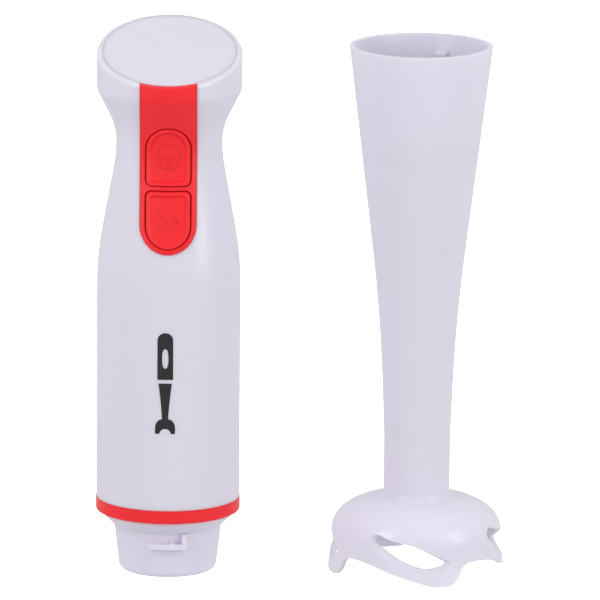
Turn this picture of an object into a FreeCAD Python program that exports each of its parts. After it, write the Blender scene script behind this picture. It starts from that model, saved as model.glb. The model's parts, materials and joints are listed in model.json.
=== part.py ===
import FreeCAD, Part

import math
import os

import Sketcher
from FreeCAD import Placement, Rotation, Vector

# Immersion blender: a motor handle and a detachable blending leg, standing side by side.
# Millimetres, +Z up, the buttons face -Y. The origin is on the table, under the middle of the pair.
# The handle stands on its coupling spigot, the leg on the four feet of its bell.

doc = FreeCAD.newDocument("immersion_blender")

# ---------------------------------------------------------------- driving dimensions

DRIVING = {
    # where the two halves stand, and the wall of every white moulding
    "handle_shift": 49.2,
    "handle_forward": 4.0,
    "leg_shift": 43.3,
    "wall": 2.2,
    "seam": 0.08,
    # handle: side line of the shell, from the trim ring to the band around its top
    "body_radius": 26.55,
    "belly_bend": 115.0,
    "flank_angle": 10.2,
    "waist_radius": 19.6,
    "waist_height": 161.65,
    "waist_bend_low": 50.0,
    "waist_bend_high": 23.0,
    "flare_angle": 26.8,
    "band_bend": 6.0,
    "band_radius": 26.8,
    "top_height": 195.6,
    "top_tilt": 19.2,
    "top_round": 1.3,
    "cap_gap": 0.03,
    "cap_skirt": 3.4,
    "cap_skirt_wall": 1.8,
    # handle: coupling end
    "spigot_end_radius": 18.2,
    "spigot_root_radius": 19.9,
    "spigot_height": 17.3,
    "spigot_round": 2.6,
    "cone_foot_radius": 20.2,
    "cone_top_radius": 24.2,
    "cone_top": 21.2,
    "ring_bottom": 22.7,
    "ring_height": 5.05,
    "ring_radius": 26.75,
    "recess_radius": 11.0,
    "recess_depth": 13.0,
    "rib_reach": 1.7,
    "rib_low": 11.7,
    "rib_high": 13.7,
    "rib_from": -18.6,
    "rib_stop_from": 15.5,
    "rib_to": 20.6,
    "rib_count": 2.0,
    "rib_bump": 0.45,
    "rib_bump_from": 3.5,
    "rib_bump_span": 5.0,
    "collar_height": 34.0,
    # handle: switch panel and buttons
    "panel_proud": 0.6,
    "panel_depth": 1.0,
    "panel_half": 10.45,
    "panel_low": 123.95,
    "panel_rise": 0.35,
    "window_half": 8.4,
    "window_corner": 2.4,
    "power_low": 148.65,
    "power_high": 170.45,
    "turbo_low": 125.85,
    "turbo_high": 147.15,
    "button_gap": 0.35,
    "button_proud": 1.25,
    "button_depth": 2.2,
    "button_rim": 1.95,
    "flange_front": 1.3,
    "flange_margin": 0.5,
    "button_bevel": 0.85,
    "dish_depth": 0.95,
    "panel_round": 0.35,
    "button_round": 0.4,
    # handle: gland for the mains lead
    "gland_height": 186.5,
    "gland_flange_radius": 6.2,
    "gland_flange": 1.6,
    "gland_seat": 26.0,
    "gland_body_radius": 4.8,
    "gland_bore": 3.2,
    "gland_inside": 21.0,
    # motor
    "motor_foot": 24.0,
    "motor_length": 60.0,
    "can_radius": 21.0,
    "can_wall": 1.4,
    "shaft_radius": 2.5,
    "running_gap": 0.05,
    "bush_radius": 5.0,
    "bush_length": 7.0,
    "magnet_inner": 16.2,
    "magnet_low": 34.0,
    "magnet_high": 72.0,
    "core_radius": 15.6,
    "core_low": 37.0,
    "core_high": 69.0,
    "winding_radius": 13.5,
    "winding_depth": 4.5,
    "commutator_radius": 5.5,
    "commutator_low": 75.0,
    "commutator_high": 82.5,
    "brush_gap": 0.3,
    "brush_length": 8.0,
    "brush_side": 4.0,
    # electronics
    "board_face": -6.5,
    "board_thick": 1.6,
    "board_half": 12.0,
    "board_low": 121.0,
    "board_high": 180.0,
    "switch_half": 3.2,
    "switch_tall": 6.5,
    "plunger_radius": 1.5,
    "plunger_reach": 1.6,
    "button_travel": 1.5,
    "post_radius": 2.2,
    "spring_wire": 0.25,
    "spring_radius": 4.8,
    # leg: long cone from the mouth to the neck
    "leg_height": 197.4,
    "mouth_radius": 26.45,
    "leg_wall": 1.95,
    "cone_angle": 6.9,
    "cone_foot": 120.0,
    "lower_angle": 2.3,
    "cone_bend": 625.0,
    "neck_radius": 12.3,
    "neck_top": 49.0,
    "neck_round": 2.6,
    # leg: bell
    "dome_top": 27.5,
    "dome_foot": 14.0,
    "dome_inner": 8.0,
    "dome_radius": 31.6,
    "dome_power": 2.2,
    "bell_radius": 33.0,
    "bell_wall": 2.0,
    "slot_lip": 2.4,
    "boss_radius": 8.6,
    "boss_low": 20.5,
    "floor_height": 34.0,
    "foot_bearing": -72.0,
    "lug_reach": 20.6,
    "lug_low": 188.6,
    "lug_high": 191.4,
    "lug_bearing": 70.0,
    "lug_span": 11.0,
    # leg: drive line
    "carrier_low": 156.0,
    "carrier_high": 170.0,
    "carrier_web": 3.0,
    "hub_radius": 7.5,
    "leg_shaft_top": 178.0,
    "leg_shaft_low": 11.4,
    "cup_radius": 6.8,
    "cup_low": 171.5,
    "cup_high": 184.1,
    "cup_socket": 174.6,
    "hex_flat": 8.0,
    "blade_height": 14.4,
    "blade_thick": 1.2,
    "blade_reach": 23.0,
    "blade_width": 11.0,
    "hub_gap": 0.7,
    "nut_dome": 0.8,
    "wing_rise": 14.0,
    "wing_fall": 7.7,
}


class Size:
    """A length worked out from the sheet: its value now, and the expression that keeps it up to date."""

    def __init__(self, value, text):
        self.value = float(value)
        self.text = text

    def __add__(self, other):
        other = size(other)
        return Size(self.value + other.value, f"({self.text} + {other.text})")

    def __sub__(self, other):
        other = size(other)
        return Size(self.value - other.value, f"({self.text} - {other.text})")

    def __mul__(self, other):
        other = size(other)
        return Size(self.value * other.value, f"({self.text} * {other.text})")

    def __truediv__(self, other):
        other = size(other)
        return Size(self.value / other.value, f"({self.text} / {other.text})")

    def __radd__(self, other):
        return size(other) + self

    def __rsub__(self, other):
        return size(other) - self

    def __rmul__(self, other):
        return size(other) * self

    def __neg__(self):
        return Size(-self.value, f"(-1 * {self.text})")


def size(number):
    """A plain number as a Size; a Size as it is."""
    if isinstance(number, Size):
        return number
    return Size(number, f"({float(number)!r})")


def sine(angle):
    angle = size(angle)
    return Size(math.sin(math.radians(angle.value)), f"sin({angle.text})")


def cosine(angle):
    angle = size(angle)
    return Size(math.cos(math.radians(angle.value)), f"cos({angle.text})")


def tangent(angle):
    angle = size(angle)
    return Size(math.tan(math.radians(angle.value)), f"tan({angle.text})")


class Sheet:
    """The spreadsheet of driving dimensions. Each one is read as an attribute, such as s.wall."""

    def __init__(self, cells):
        self.table = doc.addObject("Spreadsheet::Sheet", "sizes")
        for row, (name, value) in enumerate(cells.items(), start=1):
            self.table.set(f"A{row}", name)
            self.table.set(f"B{row}", str(value))
            self.table.setAlias(f"B{row}", name)
        doc.recompute()

    def __getattr__(self, name):
        return Size(getattr(self.table, name), f"sizes.{name}")


s = Sheet(DRIVING)
sub_parts = []


def keep(item, label, at):
    """Makes item a sub-part: gives it the label that names its file, and stands it in its half."""
    item.Label = label
    base = item.Placement
    item.Placement = Placement(at, Rotation()).multiply(base)
    sub_parts.append(item)
    return item


FRONT_BEARING = -90.0
HANDLE = Vector(-s.handle_shift.value, -s.handle_forward.value, 0)
LEG = Vector(s.leg_shift.value, 0, 0)


def bind(item, **sizes):
    """Sets each named length of a feature, and binds it to the sheet."""
    for name, amount in sizes.items():
        amount = size(amount)
        setattr(item, name, amount.value)
        item.setExpression(name, amount.text)
    return item


# ---------------------------------------------------------------- outlines and sketches

# An outline is a closed list of corners (x, y), or (x, y, radius) where the edge that arrives at the corner
# is an arc. A positive radius turns left, a negative one right.


def backwards(path):
    """The same open path walked from its other end."""
    corners = [corner[:2] for corner in path]
    radii = [corner[2] if len(corner) == 3 else None for corner in path]
    turned = [corners[-1]]
    for index in range(len(path) - 2, -1, -1):
        radius = radii[index + 1]
        turned.append(corners[index] if radius is None else (*corners[index], -radius))
    return turned


def arc_centre(start, end, radius):
    """The centre of the arc from start to end, to the left of the way for a positive radius."""
    middle = (start + end) * 0.5
    chord = end - start
    rise = math.sqrt(max(radius**2 - (chord.Length / 2) ** 2, 0.0))
    left = Vector(-chord.y, chord.x, 0).normalize()
    return middle + left * math.copysign(rise, radius)


def arc_geometry(start, end, radius):
    """The sketcher's arc, which always turns left, so a right turn runs from end to start."""
    centre = arc_centre(start, end, radius)
    first, last = (start, end) if radius > 0 else (end, start)
    angles = [math.atan2(p.y - centre.y, p.x - centre.x) for p in (first, last)]
    if angles[1] < angles[0]:
        angles[1] += 2 * math.pi
    return Part.ArcOfCircle(Part.Circle(centre, Vector(0, 0, 1), abs(radius)), *angles)


def draw(sketch, outline):
    """Adds a closed outline to a sketch, with every corner and radius bound to the sheet."""
    corners = [tuple(size(v) for v in corner) for corner in outline]
    points = [Vector(c[0].value, c[1].value, 0) for c in corners]
    ends = []
    count = len(corners)
    for index in range(count):
        arriving = corners[(index + 1) % count]
        start, end = points[index], points[(index + 1) % count]
        if len(arriving) == 3:
            radius = arriving[2]
            edge = sketch.addGeometry(arc_geometry(start, end, radius.value), False)
            ends.append((edge, 1, 2) if radius.value > 0 else (edge, 2, 1))
        else:
            edge = sketch.addGeometry(Part.LineSegment(start, end), False)
            ends.append((edge, 1, 2))
    for index in range(count):
        edge, _, last = ends[index]
        following, first, _ = ends[(index + 1) % count]
        sketch.addConstraint(Sketcher.Constraint("Coincident", edge, last, following, first))
    for index, corner in enumerate(corners):
        edge, first, last = ends[index]
        for kind, amount in (("DistanceX", corner[0]), ("DistanceY", corner[1])):
            place = sketch.addConstraint(Sketcher.Constraint(kind, -1, 1, edge, first, amount.value))
            sketch.setExpression(f"Constraints[{place}]", amount.text)
        arriving = corners[(index + 1) % count]
        if len(arriving) == 3:
            radius = arriving[2] if arriving[2].value > 0 else -arriving[2]
            bend = sketch.addConstraint(Sketcher.Constraint("Radius", edge, radius.value))
            sketch.setExpression(f"Constraints[{bend}]", radius.text)


def draw_circle(sketch, x, y, radius):
    """Adds a circle whose centre and radius are bound to the sheet."""
    x, y, radius = size(x), size(y), size(radius)
    centre = Vector(x.value, y.value, 0)
    edge = sketch.addGeometry(Part.Circle(centre, Vector(0, 0, 1), radius.value), False)
    for kind, amount in (("DistanceX", x), ("DistanceY", y)):
        place = sketch.addConstraint(Sketcher.Constraint(kind, -1, 1, edge, 3, amount.value))
        sketch.setExpression(f"Constraints[{place}]", amount.text)
    bend = sketch.addConstraint(Sketcher.Constraint("Radius", edge, radius.value))
    sketch.setExpression(f"Constraints[{bend}]", radius.text)


def rectangle(x_low, x_high, y_low, y_high):
    return [(x_low, y_low), (x_high, y_low), (x_high, y_high), (x_low, y_high)]


def slot_outline(half, low, high, round_low, round_high, corner):
    """An upright button outline: a half circle at one end or both, and corners with a radius at the other."""
    outline = []
    if round_low:
        outline += [(-half, low + half), (0, low, half), (half, low + half, half)]
    else:
        outline += [(-half, low + corner), (-half + corner, low, corner), (half - corner, low)]
        outline += [(half, low + corner, corner)]
    if round_high:
        outline += [(half, high - half), (0, high, half), (-half, high - half, half)]
    else:
        outline += [(half, high - corner), (half - corner, high, corner), (-half + corner, high)]
        outline += [(-half, high - corner, corner)]
    return outline


# ---------------------------------------------------------------- PartDesign helpers


class Piece:
    """A PartDesign body with the features that the blender's mouldings and turned parts need."""

    def __init__(self, label):
        self.body = doc.addObject("PartDesign::Body", label)
        self.label = label
        self.planes = {f.Role: f for f in self.body.Origin.OriginFeatures}
        self.features = 0

    def sketch(self, plane, outlines=(), circles=(), turn=0.0, lift=0.0):
        """A sketch on an origin plane, turned about the plane's upright axis and lifted off the plane."""
        self.features += 1
        sketch = self.body.newObject("Sketcher::SketchObject", f"{self.label}_sketch_{self.features}")
        sketch.AttachmentSupport = (self.planes[plane], [""])
        sketch.MapMode = "FlatFace"
        spin = Rotation(Vector(0, 1, 0), size(turn).value)
        sketch.AttachmentOffset = Placement(Vector(0, 0, size(lift).value), spin)
        if size(lift).value:
            sketch.setExpression("AttachmentOffset.Base.z", size(lift).text)
        for outline in outlines:
            draw(sketch, outline)
        for circle in circles:
            draw_circle(sketch, *circle)
        return sketch

    def feature(self, kind, **values):
        self.features += 1
        made = self.body.newObject(f"PartDesign::{kind}", f"{self.label}_{kind.lower()}_{self.features}")
        for name, value in values.items():
            setattr(made, name, value)
        return made

    def revolve(self, outline, kind="Revolution", turn=0.0, degrees=360.0):
        """Turns an outline of (radius, height) about the body's own axis."""
        sketch = self.sketch("XZ_Plane", [outline], turn=turn)
        made = self.feature(kind, Profile=sketch, ReferenceAxis=(sketch, ["V_Axis"]))
        bind(made, Angle=degrees)
        return made

    def groove(self, outline):
        return self.revolve(outline, kind="Groove")

    def pad(self, plane, length, outlines=(), circles=(), lift=0.0, midplane=False, reverse=False):
        sketch = self.sketch(plane, outlines, circles, lift=lift)
        made = self.feature("Pad", Profile=sketch, Midplane=midplane, Reversed=reverse)
        return bind(made, Length=length)

    def pocket(self, plane, length, outlines=(), circles=(), lift=0.0, midplane=False, reverse=False):
        sketch = self.sketch(plane, outlines, circles, lift=lift)
        made = self.feature("Pocket", Profile=sketch, Midplane=midplane, Reversed=reverse)
        return bind(made, Length=length)

    def polar(self, originals, count):
        """Repeats features evenly about the body's own axis."""
        made = self.feature("PolarPattern", Originals=originals, Axis=(self.planes["Z_Axis"], [""]))
        made.Angle = 360.0
        count = size(count)
        made.Occurrences = round(count.value)
        made.setExpression("Occurrences", count.text)
        self.body.Tip = made
        return made

    def edges(self, test):
        """Names of the tip's edges whose every sampled point passes the test."""
        doc.recompute()
        found = []
        for number, edge in enumerate(self.body.Tip.Shape.Edges, start=1):
            points = edge.discretize(7)
            if all(test(point) for point in points):
                found.append(f"Edge{number}")
        return found

    def fillet(self, test, radius):
        return self._dress("Fillet", test, Radius=radius)

    def chamfer(self, test, amount):
        return self._dress("Chamfer", test, Size=amount)

    def _dress(self, kind, test, **sizes):
        names = self.edges(test)
        if not names:
            raise RuntimeError(f"{self.label}: no edge to {kind.lower()}")
        base = self.body.Tip
        made = self.feature(kind, Base=(base, names))
        bind(made, **sizes)
        return made

    def done(self, at):
        return keep(self.body, self.label, at)


def turned(label, outline, at):
    """A sub-part that is one outline of (radius, height) turned about its axis."""
    piece = Piece(label)
    piece.revolve(outline)
    return piece.done(at)


def tube(inner, outer, low, high):
    return rectangle(inner, outer, low, high)


# ---------------------------------------------------------------- Part workbench helpers


def block(x_low, x_high, y_low, y_high, z_low, z_high):
    made = doc.addObject("Part::Box", "block")
    bind(made, Length=x_high - x_low, Width=y_high - y_low, Height=z_high - z_low)
    made.Placement.Base = Vector(size(x_low).value, size(y_low).value, size(z_low).value)
    for axis, low in (("x", x_low), ("y", y_low), ("z", z_low)):
        made.setExpression(f"Placement.Base.{axis}", size(low).text)
    return made


def rod(radius, start, direction, length):
    """A cylinder from a start point along a direction."""
    made = doc.addObject("Part::Cylinder", "rod")
    bind(made, Radius=radius, Height=length)
    base = [size(v) for v in start]
    made.Placement = Placement(Vector(*(v.value for v in base)), Rotation(Vector(0, 0, 1), direction))
    for axis, amount in zip("xyz", base):
        made.setExpression(f"Placement.Base.{axis}", amount.text)
    return made


def loose_sketch(plane_turn, outlines=(), circles=()):
    sketch = doc.addObject("Sketcher::SketchObject", "profile")
    sketch.Placement = Placement(Vector(), plane_turn)
    for outline in outlines:
        draw(sketch, outline)
    for circle in circles:
        draw_circle(sketch, *circle)
    return sketch


FRONT = Rotation(Vector(1, 0, 0), 90)
SIDE = Rotation(Vector(1, 1, 1), 120)


def extruded(turn, direction, forward, back, outlines=(), circles=(), taper=0.0):
    """A sketch drawn on a plane through the axis and extruded both ways along a direction."""
    made = doc.addObject("Part::Extrusion", "extrusion")
    made.Base = loose_sketch(turn, outlines, circles)
    made.DirMode = "Custom"
    made.Dir = direction
    made.Solid = True
    made.TaperAngle = taper
    bind(made, LengthFwd=forward, LengthRev=back)
    return made


def revolved(outline, degrees=360.0):
    made = doc.addObject("Part::Revolution", "revolution")
    made.Source = loose_sketch(FRONT, [outline])
    made.Axis = Vector(0, 0, 1)
    made.Angle = degrees
    made.Solid = True
    return made


def cut(base, tool):
    made = doc.addObject("Part::Cut", "cut")
    made.Base, made.Tool = base, tool
    return made


def common(base, tool):
    made = doc.addObject("Part::Common", "common")
    made.Base, made.Tool = base, tool
    return made


def fused(*shapes):
    made = doc.addObject("Part::MultiFuse", "fuse")
    made.Shapes = list(shapes)
    return made


def group(*shapes):
    """Separate solids that share one node, such as a set of screws."""
    made = doc.addObject("Part::Compound", "group")
    made.Links = list(shapes)
    return made


def rounded(base, radius, test, kind="Fillet"):
    """Rounds (or chamfers) the edges of base whose every sampled point passes the test."""
    doc.recompute()
    made = doc.addObject(f"Part::{kind}", kind.lower())
    made.Base = base
    numbers = [
        number
        for number, edge in enumerate(base.Shape.Edges, start=1)
        if all(test(point) for point in edge.discretize(7))
    ]
    if not numbers:
        raise RuntimeError("no edge to round")
    made.Edges = [(number, radius.value, radius.value) for number in numbers]
    return made


# ---------------------------------------------------------------- handle: shared lines


def handle_side(inset, low, high):
    """The shell's side line from height low to height high, moved in from the outer skin by inset."""
    flank, flare = s.flank_angle, s.flare_angle
    belly, band = s.belly_bend, s.band_bend
    slow, quick = s.waist_bend_low, s.waist_bend_high
    # where the long belly bend gives way to the straight flank, and the flank to the waist
    belly_end = s.body_radius - belly * (1 - cosine(flank))
    waist_start = s.waist_radius + slow * (1 - cosine(flank))
    waist_start_z = s.waist_height - slow * sine(flank)
    belly_end_z = waist_start_z - (belly_end - waist_start) / tangent(flank)
    belly_start_z = belly_end_z - belly * sine(flank)
    # where the waist gives way to the straight flare, and the flare to the band
    waist_end = s.waist_radius + quick * (1 - cosine(flare))
    waist_end_z = s.waist_height + quick * sine(flare)
    band_start = s.band_radius - band * (1 - cosine(flare))
    band_start_z = waist_end_z + (band_start - waist_end) / tangent(flare)
    band_end_z = band_start_z + band * sine(flare)
    in_flank, up_flank = inset * cosine(flank), inset * sine(flank)
    in_flare, up_flare = inset * cosine(flare), inset * sine(flare)
    return [
        (s.body_radius - inset, low),
        (s.body_radius - inset, belly_start_z),
        (belly_end - in_flank, belly_end_z - up_flank, belly - inset),
        (waist_start - in_flank, waist_start_z - up_flank),
        (s.waist_radius - inset, s.waist_height, -(slow + inset)),
        (waist_end - in_flare, waist_end_z + up_flare, -(quick + inset)),
        (band_start - in_flare, band_start_z + up_flare),
        (s.band_radius - inset, band_end_z, band - inset),
        (s.band_radius - inset, high),
    ]


def skin(outer_inset, inner_inset, low, high):
    """A closed outline between two side lines of the handle."""
    outer = handle_side(size(outer_inset), low, high)
    inner = handle_side(size(inner_inset), low, high)
    return outer + backwards(inner)


OVER_TOP = 215.0
ASIDE = 45.0


def above_top(rise):
    """A (y, z) outline of everything above the sloping top, lifted by rise."""
    slope = tangent(s.top_tilt)
    return [
        (-ASIDE, s.top_height + rise - ASIDE * slope),
        (ASIDE, s.top_height + rise + ASIDE * slope),
        (ASIDE, OVER_TOP + ASIDE),
        (-ASIDE, OVER_TOP + ASIDE),
    ]


def above_top_solid(rise):
    return extruded(SIDE, Vector(1, 0, 0), size(ASIDE), size(ASIDE), [above_top(rise)])


def on_top_plane(point, rise, slack=0.02):
    level = s.top_height.value + rise + point.y * tangent(s.top_tilt).value
    return abs(point.z - level) < slack


def distance(point):
    return math.hypot(point.x, point.y)


def panel_outline(margin):
    """The switch panel's front outline, grown by margin, open past the sloping top."""
    half = s.panel_half + margin
    low = s.panel_low - margin
    top = size(OVER_TOP)
    return [(-half, low + half), (0, low, half), (half, low + half, half), (half, top), (-half, top)]


# ---------------------------------------------------------------- handle: mouldings


def make_handle_shell():
    """The white main moulding: a tube with a waist, a sloping open top and a window for the switch panel."""
    piece = Piece("handle_shell")
    ring_top = s.ring_bottom + s.ring_height
    piece.revolve(skin(0, s.wall, ring_top, size(OVER_TOP)), turn=135.0)
    piece.pocket("XZ_Plane", 2 * s.band_radius, [panel_outline(s.seam)], reverse=True)
    piece.pocket("YZ_Plane", 2 * ASIDE, [above_top(0)], midplane=True)
    # a flat seat and a hole for the gland, at the back of the band
    seat = s.gland_seat
    hole = (0, s.gland_height, s.gland_body_radius)
    flat = (0, s.gland_height, s.gland_flange_radius + s.seam)
    piece.pocket("XZ_Plane", s.band_radius, circles=[flat], lift=-seat)
    piece.pocket("XZ_Plane", s.band_radius, circles=[hole])
    top = s.band_radius.value
    piece.fillet(lambda p: on_top_plane(p, 0) and abs(distance(p) - top) < 0.02, s.top_round)
    piece.done(HANDLE)


def make_top_cap():
    """The lid that closes the shell's sloping mouth: a tilted plate with a skirt inside the rim."""
    radius = s.band_radius - s.wall - s.cap_gap
    inner = radius - s.cap_skirt_wall
    low = s.top_height - ASIDE
    tall = size(2 * ASIDE)
    plate = cut(rod(radius, (0, 0, low), Vector(0, 0, 1), tall), above_top_solid(size(0)))
    under = common(rod(radius, (0, 0, low), Vector(0, 0, 1), tall), above_top_solid(-(s.wall + s.cap_skirt)))
    hollow = cut(rod(inner, (0, 0, low), Vector(0, 0, 1), tall), above_top_solid(-s.wall))
    cap = cut(common(plate, under), hollow)
    # the skirt's front stops short of the switch panel
    notch = block(-s.panel_half - 1, s.panel_half + 1, -s.band_radius, -s.band_radius + 8, low, low + tall)
    cap = cut(cap, cut(notch, above_top_solid(-s.wall)))
    keep(cap, "top_cap", HANDLE)


def make_trim_ring():
    """The red band between the shell and the coupling housing."""
    low, high = s.ring_bottom, s.ring_bottom + s.ring_height
    bore = s.body_radius - s.wall
    piece = Piece("trim_ring")
    soft = size(0.7)
    piece.revolve(
        [
            (bore, low),
            (s.ring_radius - soft, low),
            (s.ring_radius, low + soft, soft),
            (s.ring_radius, high),
            (bore, high),
        ]
    )
    piece.done(HANDLE)


def make_coupling_housing():
    """The white spigot that plugs into the leg, with its two bayonet ribs and the collar inside the shell."""
    piece = Piece("coupling_housing")
    collar = s.body_radius - s.wall
    cavity = collar - s.wall
    bore = s.bush_radius + 1.5
    recess, deep = s.recess_radius, s.recess_depth
    soft = s.spigot_round
    foot = s.spigot_end_radius
    piece.revolve(
        [
            (recess, 0),
            (foot - soft, 0),
            (foot, soft, soft),
            (s.spigot_root_radius, s.spigot_height),
            (s.cone_foot_radius, s.spigot_height),
            (s.cone_top_radius, s.cone_top),
            (s.cone_top_radius, s.ring_bottom),
            (collar, s.ring_bottom),
            (collar, s.collar_height),
            (cavity, s.collar_height),
            (cavity, s.motor_foot - 2.5),
            (bore, s.motor_foot - 2.5),
            (bore, deep),
            (recess, deep),
        ]
    )
    root = s.spigot_root_radius - s.wall / 2
    reach = s.spigot_root_radius + s.rib_reach
    floor = piece.revolve(
        rectangle(root, reach, s.rib_low, s.rib_high),
        turn=FRONT_BEARING + s.rib_from.value,
        degrees=s.rib_to - s.rib_from,
    )
    stop = piece.revolve(
        rectangle(root, reach, s.rib_low, s.spigot_height),
        turn=FRONT_BEARING + s.rib_stop_from.value,
        degrees=s.rib_to - s.rib_stop_from,
    )
    bump = piece.revolve(
        rectangle(root, reach - 0.2, s.rib_high - 0.3, s.rib_high + s.rib_bump),
        turn=FRONT_BEARING + s.rib_bump_from.value,
        degrees=s.rib_bump_span,
    )
    piece.polar([floor, stop, bump], s.rib_count)
    # two screw holes into the motor's foot, from inside the recess
    reach_in = s.recess_radius - 2.6
    screws = [(reach_in, 0, 1.6), (-reach_in, 0, 1.6)]
    piece.pocket("XY_Plane", s.motor_foot, circles=screws, reverse=True)
    piece.done(HANDLE)


def make_cord_gland():
    """The bush at the back of the band, where a mains lead enters."""
    piece = Piece("cord_gland")
    seat, inside = s.gland_seat, s.gland_inside
    out = seat + s.gland_flange
    centre = (0, s.gland_height)
    piece.pad("XZ_Plane", out - inside, circles=[(*centre, s.gland_body_radius)], lift=-out)
    piece.pad("XZ_Plane", s.gland_flange, circles=[(*centre, s.gland_flange_radius)], lift=-out)
    piece.pocket("XZ_Plane", out, circles=[(*centre, s.gland_bore)])
    rim = s.gland_flange_radius.value
    piece.fillet(
        lambda p: abs(p.y - out.value) < 0.02 and abs(math.hypot(p.x, p.z - centre[1].value) - rim) < 0.02,
        size(0.6),
    )
    piece.done(HANDLE)


def make_gland_clip():
    """The split washer that holds the gland from inside."""
    ring = extruded(
        FRONT,
        Vector(0, 1, 0),
        s.gland_seat - s.wall - 0.6,
        -(s.gland_inside + 0.6),
        circles=[(0, s.gland_height, s.gland_flange_radius), (0, s.gland_height, s.gland_body_radius)],
    )
    keep(ring, "gland_clip", HANDLE)


# ---------------------------------------------------------------- handle: switch panel and buttons


def panel_skin(outer, inner):
    low = s.panel_low - 8
    return revolved(skin(outer, inner, low, size(OVER_TOP)))


def forward(outlines):
    """An outline seen from the front, carried from the axis to well in front of the handle."""
    return extruded(FRONT, Vector(0, -1, 0), size(ASIDE), size(0), outlines)


def power_outline(margin):
    half, corner = s.window_half - margin, s.window_corner - margin * 0.7
    return slot_outline(half, s.power_low + margin, s.power_high - margin, False, True, corner)


def turbo_outline(margin):
    half, corner = s.window_half - margin, s.window_corner - margin * 0.7
    return slot_outline(half, s.turbo_low + margin, s.turbo_high - margin, True, False, corner)


def make_switch_panel():
    """The red strip down the front, with a window for each button."""
    plate = common(panel_skin(-s.panel_proud, s.panel_depth), forward([panel_outline(size(0))]))
    plate = cut(plate, above_top_solid(s.panel_rise))
    plate = cut(plate, forward([power_outline(size(0))]))
    plate = cut(plate, forward([turbo_outline(size(0))]))
    soft = s.panel_round

    def front_edge(p):
        return on_skin(p, -s.panel_proud.value)

    keep(rounded(plate, soft, front_edge), "switch_panel", HANDLE)


def side_radius(height, inset):
    """The radius of the handle's side line at a height, moved in by inset, for picking edges."""
    corners = handle_side(size(inset), size(20), size(OVER_TOP))
    path = [(c[0].value, c[1].value, c[2].value if len(c) == 3 else None) for c in corners]
    for (r0, z0, _), (r1, z1, bend) in zip(path, path[1:]):
        if z0 <= height <= z1:
            if bend is None:
                return r0 + (r1 - r0) * (height - z0) / (z1 - z0)
            centre = arc_centre(Vector(r0, z0, 0), Vector(r1, z1, 0), bend)
            side = math.sqrt(max(bend**2 - (height - centre.y) ** 2, 0.0))
            return centre.x + (side if bend > 0 else -side)
    return path[-1][0]


def on_skin(point, inset, slack=0.03):
    return abs(distance(point) - side_radius(point.z, inset)) < slack


def make_button(label, outline, middle, post_low):
    """A button cap: a bevelled rim round a dished face, a flange behind the panel, and a post."""
    inside = s.button_gap + s.button_rim
    corners = [(size(corner[0]).value, size(corner[1]).value) for corner in outline(inside)]
    half = max(x for x, _ in corners) + 0.02
    low, high = min(z for _, z in corners) - 0.02, max(z for _, z in corners) + 0.02

    def on_face(p):
        return on_skin(p, -s.button_proud.value)

    def in_dish(p):
        return on_face(p) and abs(p.x) < half and low < p.z < high

    cap = common(panel_skin(-s.button_proud, s.button_depth), forward([outline(s.button_gap)]))
    cap = rounded(cap, s.button_round, on_face)
    dish = common(panel_skin(-s.button_proud - 1, -s.button_proud + s.dish_depth), forward([outline(inside)]))
    cap = rounded(cut(cap, dish), s.button_bevel, in_dish, "Chamfer")
    flange = common(panel_skin(s.flange_front, s.button_depth), forward([outline(-s.flange_margin)]))
    start = post_low
    reach = size(side_radius(middle.value, s.button_depth.value)) + post_low + 0.4
    post = rod(s.post_radius, (0, start, middle), Vector(0, -1, 0), reach)
    keep(fused(cap, flange, post), label, HANDLE)


def switch_heights():
    power = s.power_low + (s.power_high - s.power_low) * 0.45
    turbo = s.turbo_low + (s.turbo_high - s.turbo_low) * 0.55
    return {"power": power, "turbo": turbo}


def make_switches():
    """Behind each button: a switch body on the board, its plunger, and the button's return spring."""
    face = s.board_face
    tall, half = s.switch_tall, s.switch_half
    top = face - tall
    tip = top - s.plunger_reach
    deep = s.button_travel + 1.4
    outlines = {"power": power_outline, "turbo": turbo_outline}
    for name, middle in switch_heights().items():
        housing = block(-half, half, top, face, middle - half, middle + half)
        well = rod(s.plunger_radius + 0.1, (0, top + deep, middle), Vector(0, -1, 0), deep + 1)
        keep(cut(housing, well), f"{name}_switch", HANDLE)
        plunger = rod(s.plunger_radius, (0, tip, middle), Vector(0, 1, 0), top - tip + 1.0)
        front = tip.value
        keep(rounded(plunger, size(0.3), lambda p: abs(p.y - front) < 0.02), f"{name}_plunger", HANDLE)
        make_button(f"{name}_button", outlines[name], middle, tip)
        make_spring(f"{name}_spring", middle, face)


def make_spring(label, middle, face):
    """A coil spring between the board and the back of a button."""
    back = -side_radius(middle.value, s.button_depth.value)
    wire = s.spring_wire.value
    start = face.value - wire
    end_gap = 1.2
    made = doc.addObject("Part::Feature", label)
    made.Shape = coil(s.spring_radius.value, wire, start - (back + end_gap), 8)
    made.Placement = Placement(Vector(0, start, middle.value), Rotation(Vector(0, 0, 1), Vector(0, -1, 0)))
    keep(made, label, HANDLE)


def coil(radius, wire, reach, half_turns):
    """Round wire wound up +Z: half turns, each tilted so that it rises half a pitch and meets the next."""
    rise = reach / half_turns
    turns = []
    for step in range(half_turns):
        side = 1 if step % 2 == 0 else -1
        begin = Vector(radius * side, 0, step * rise)
        end = Vector(-radius * side, 0, (step + 1) * rise)
        centre = (begin + end) * 0.5
        heading = Vector(0, side, 0)
        section = Part.Face(Part.Wire(Part.makeCircle(wire, begin, heading)))
        turns.append(section.revolve(centre, (begin - centre).cross(heading), 180))
    return turns[0].multiFuse(turns[1:])


# ---------------------------------------------------------------- handle: electronics


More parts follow.
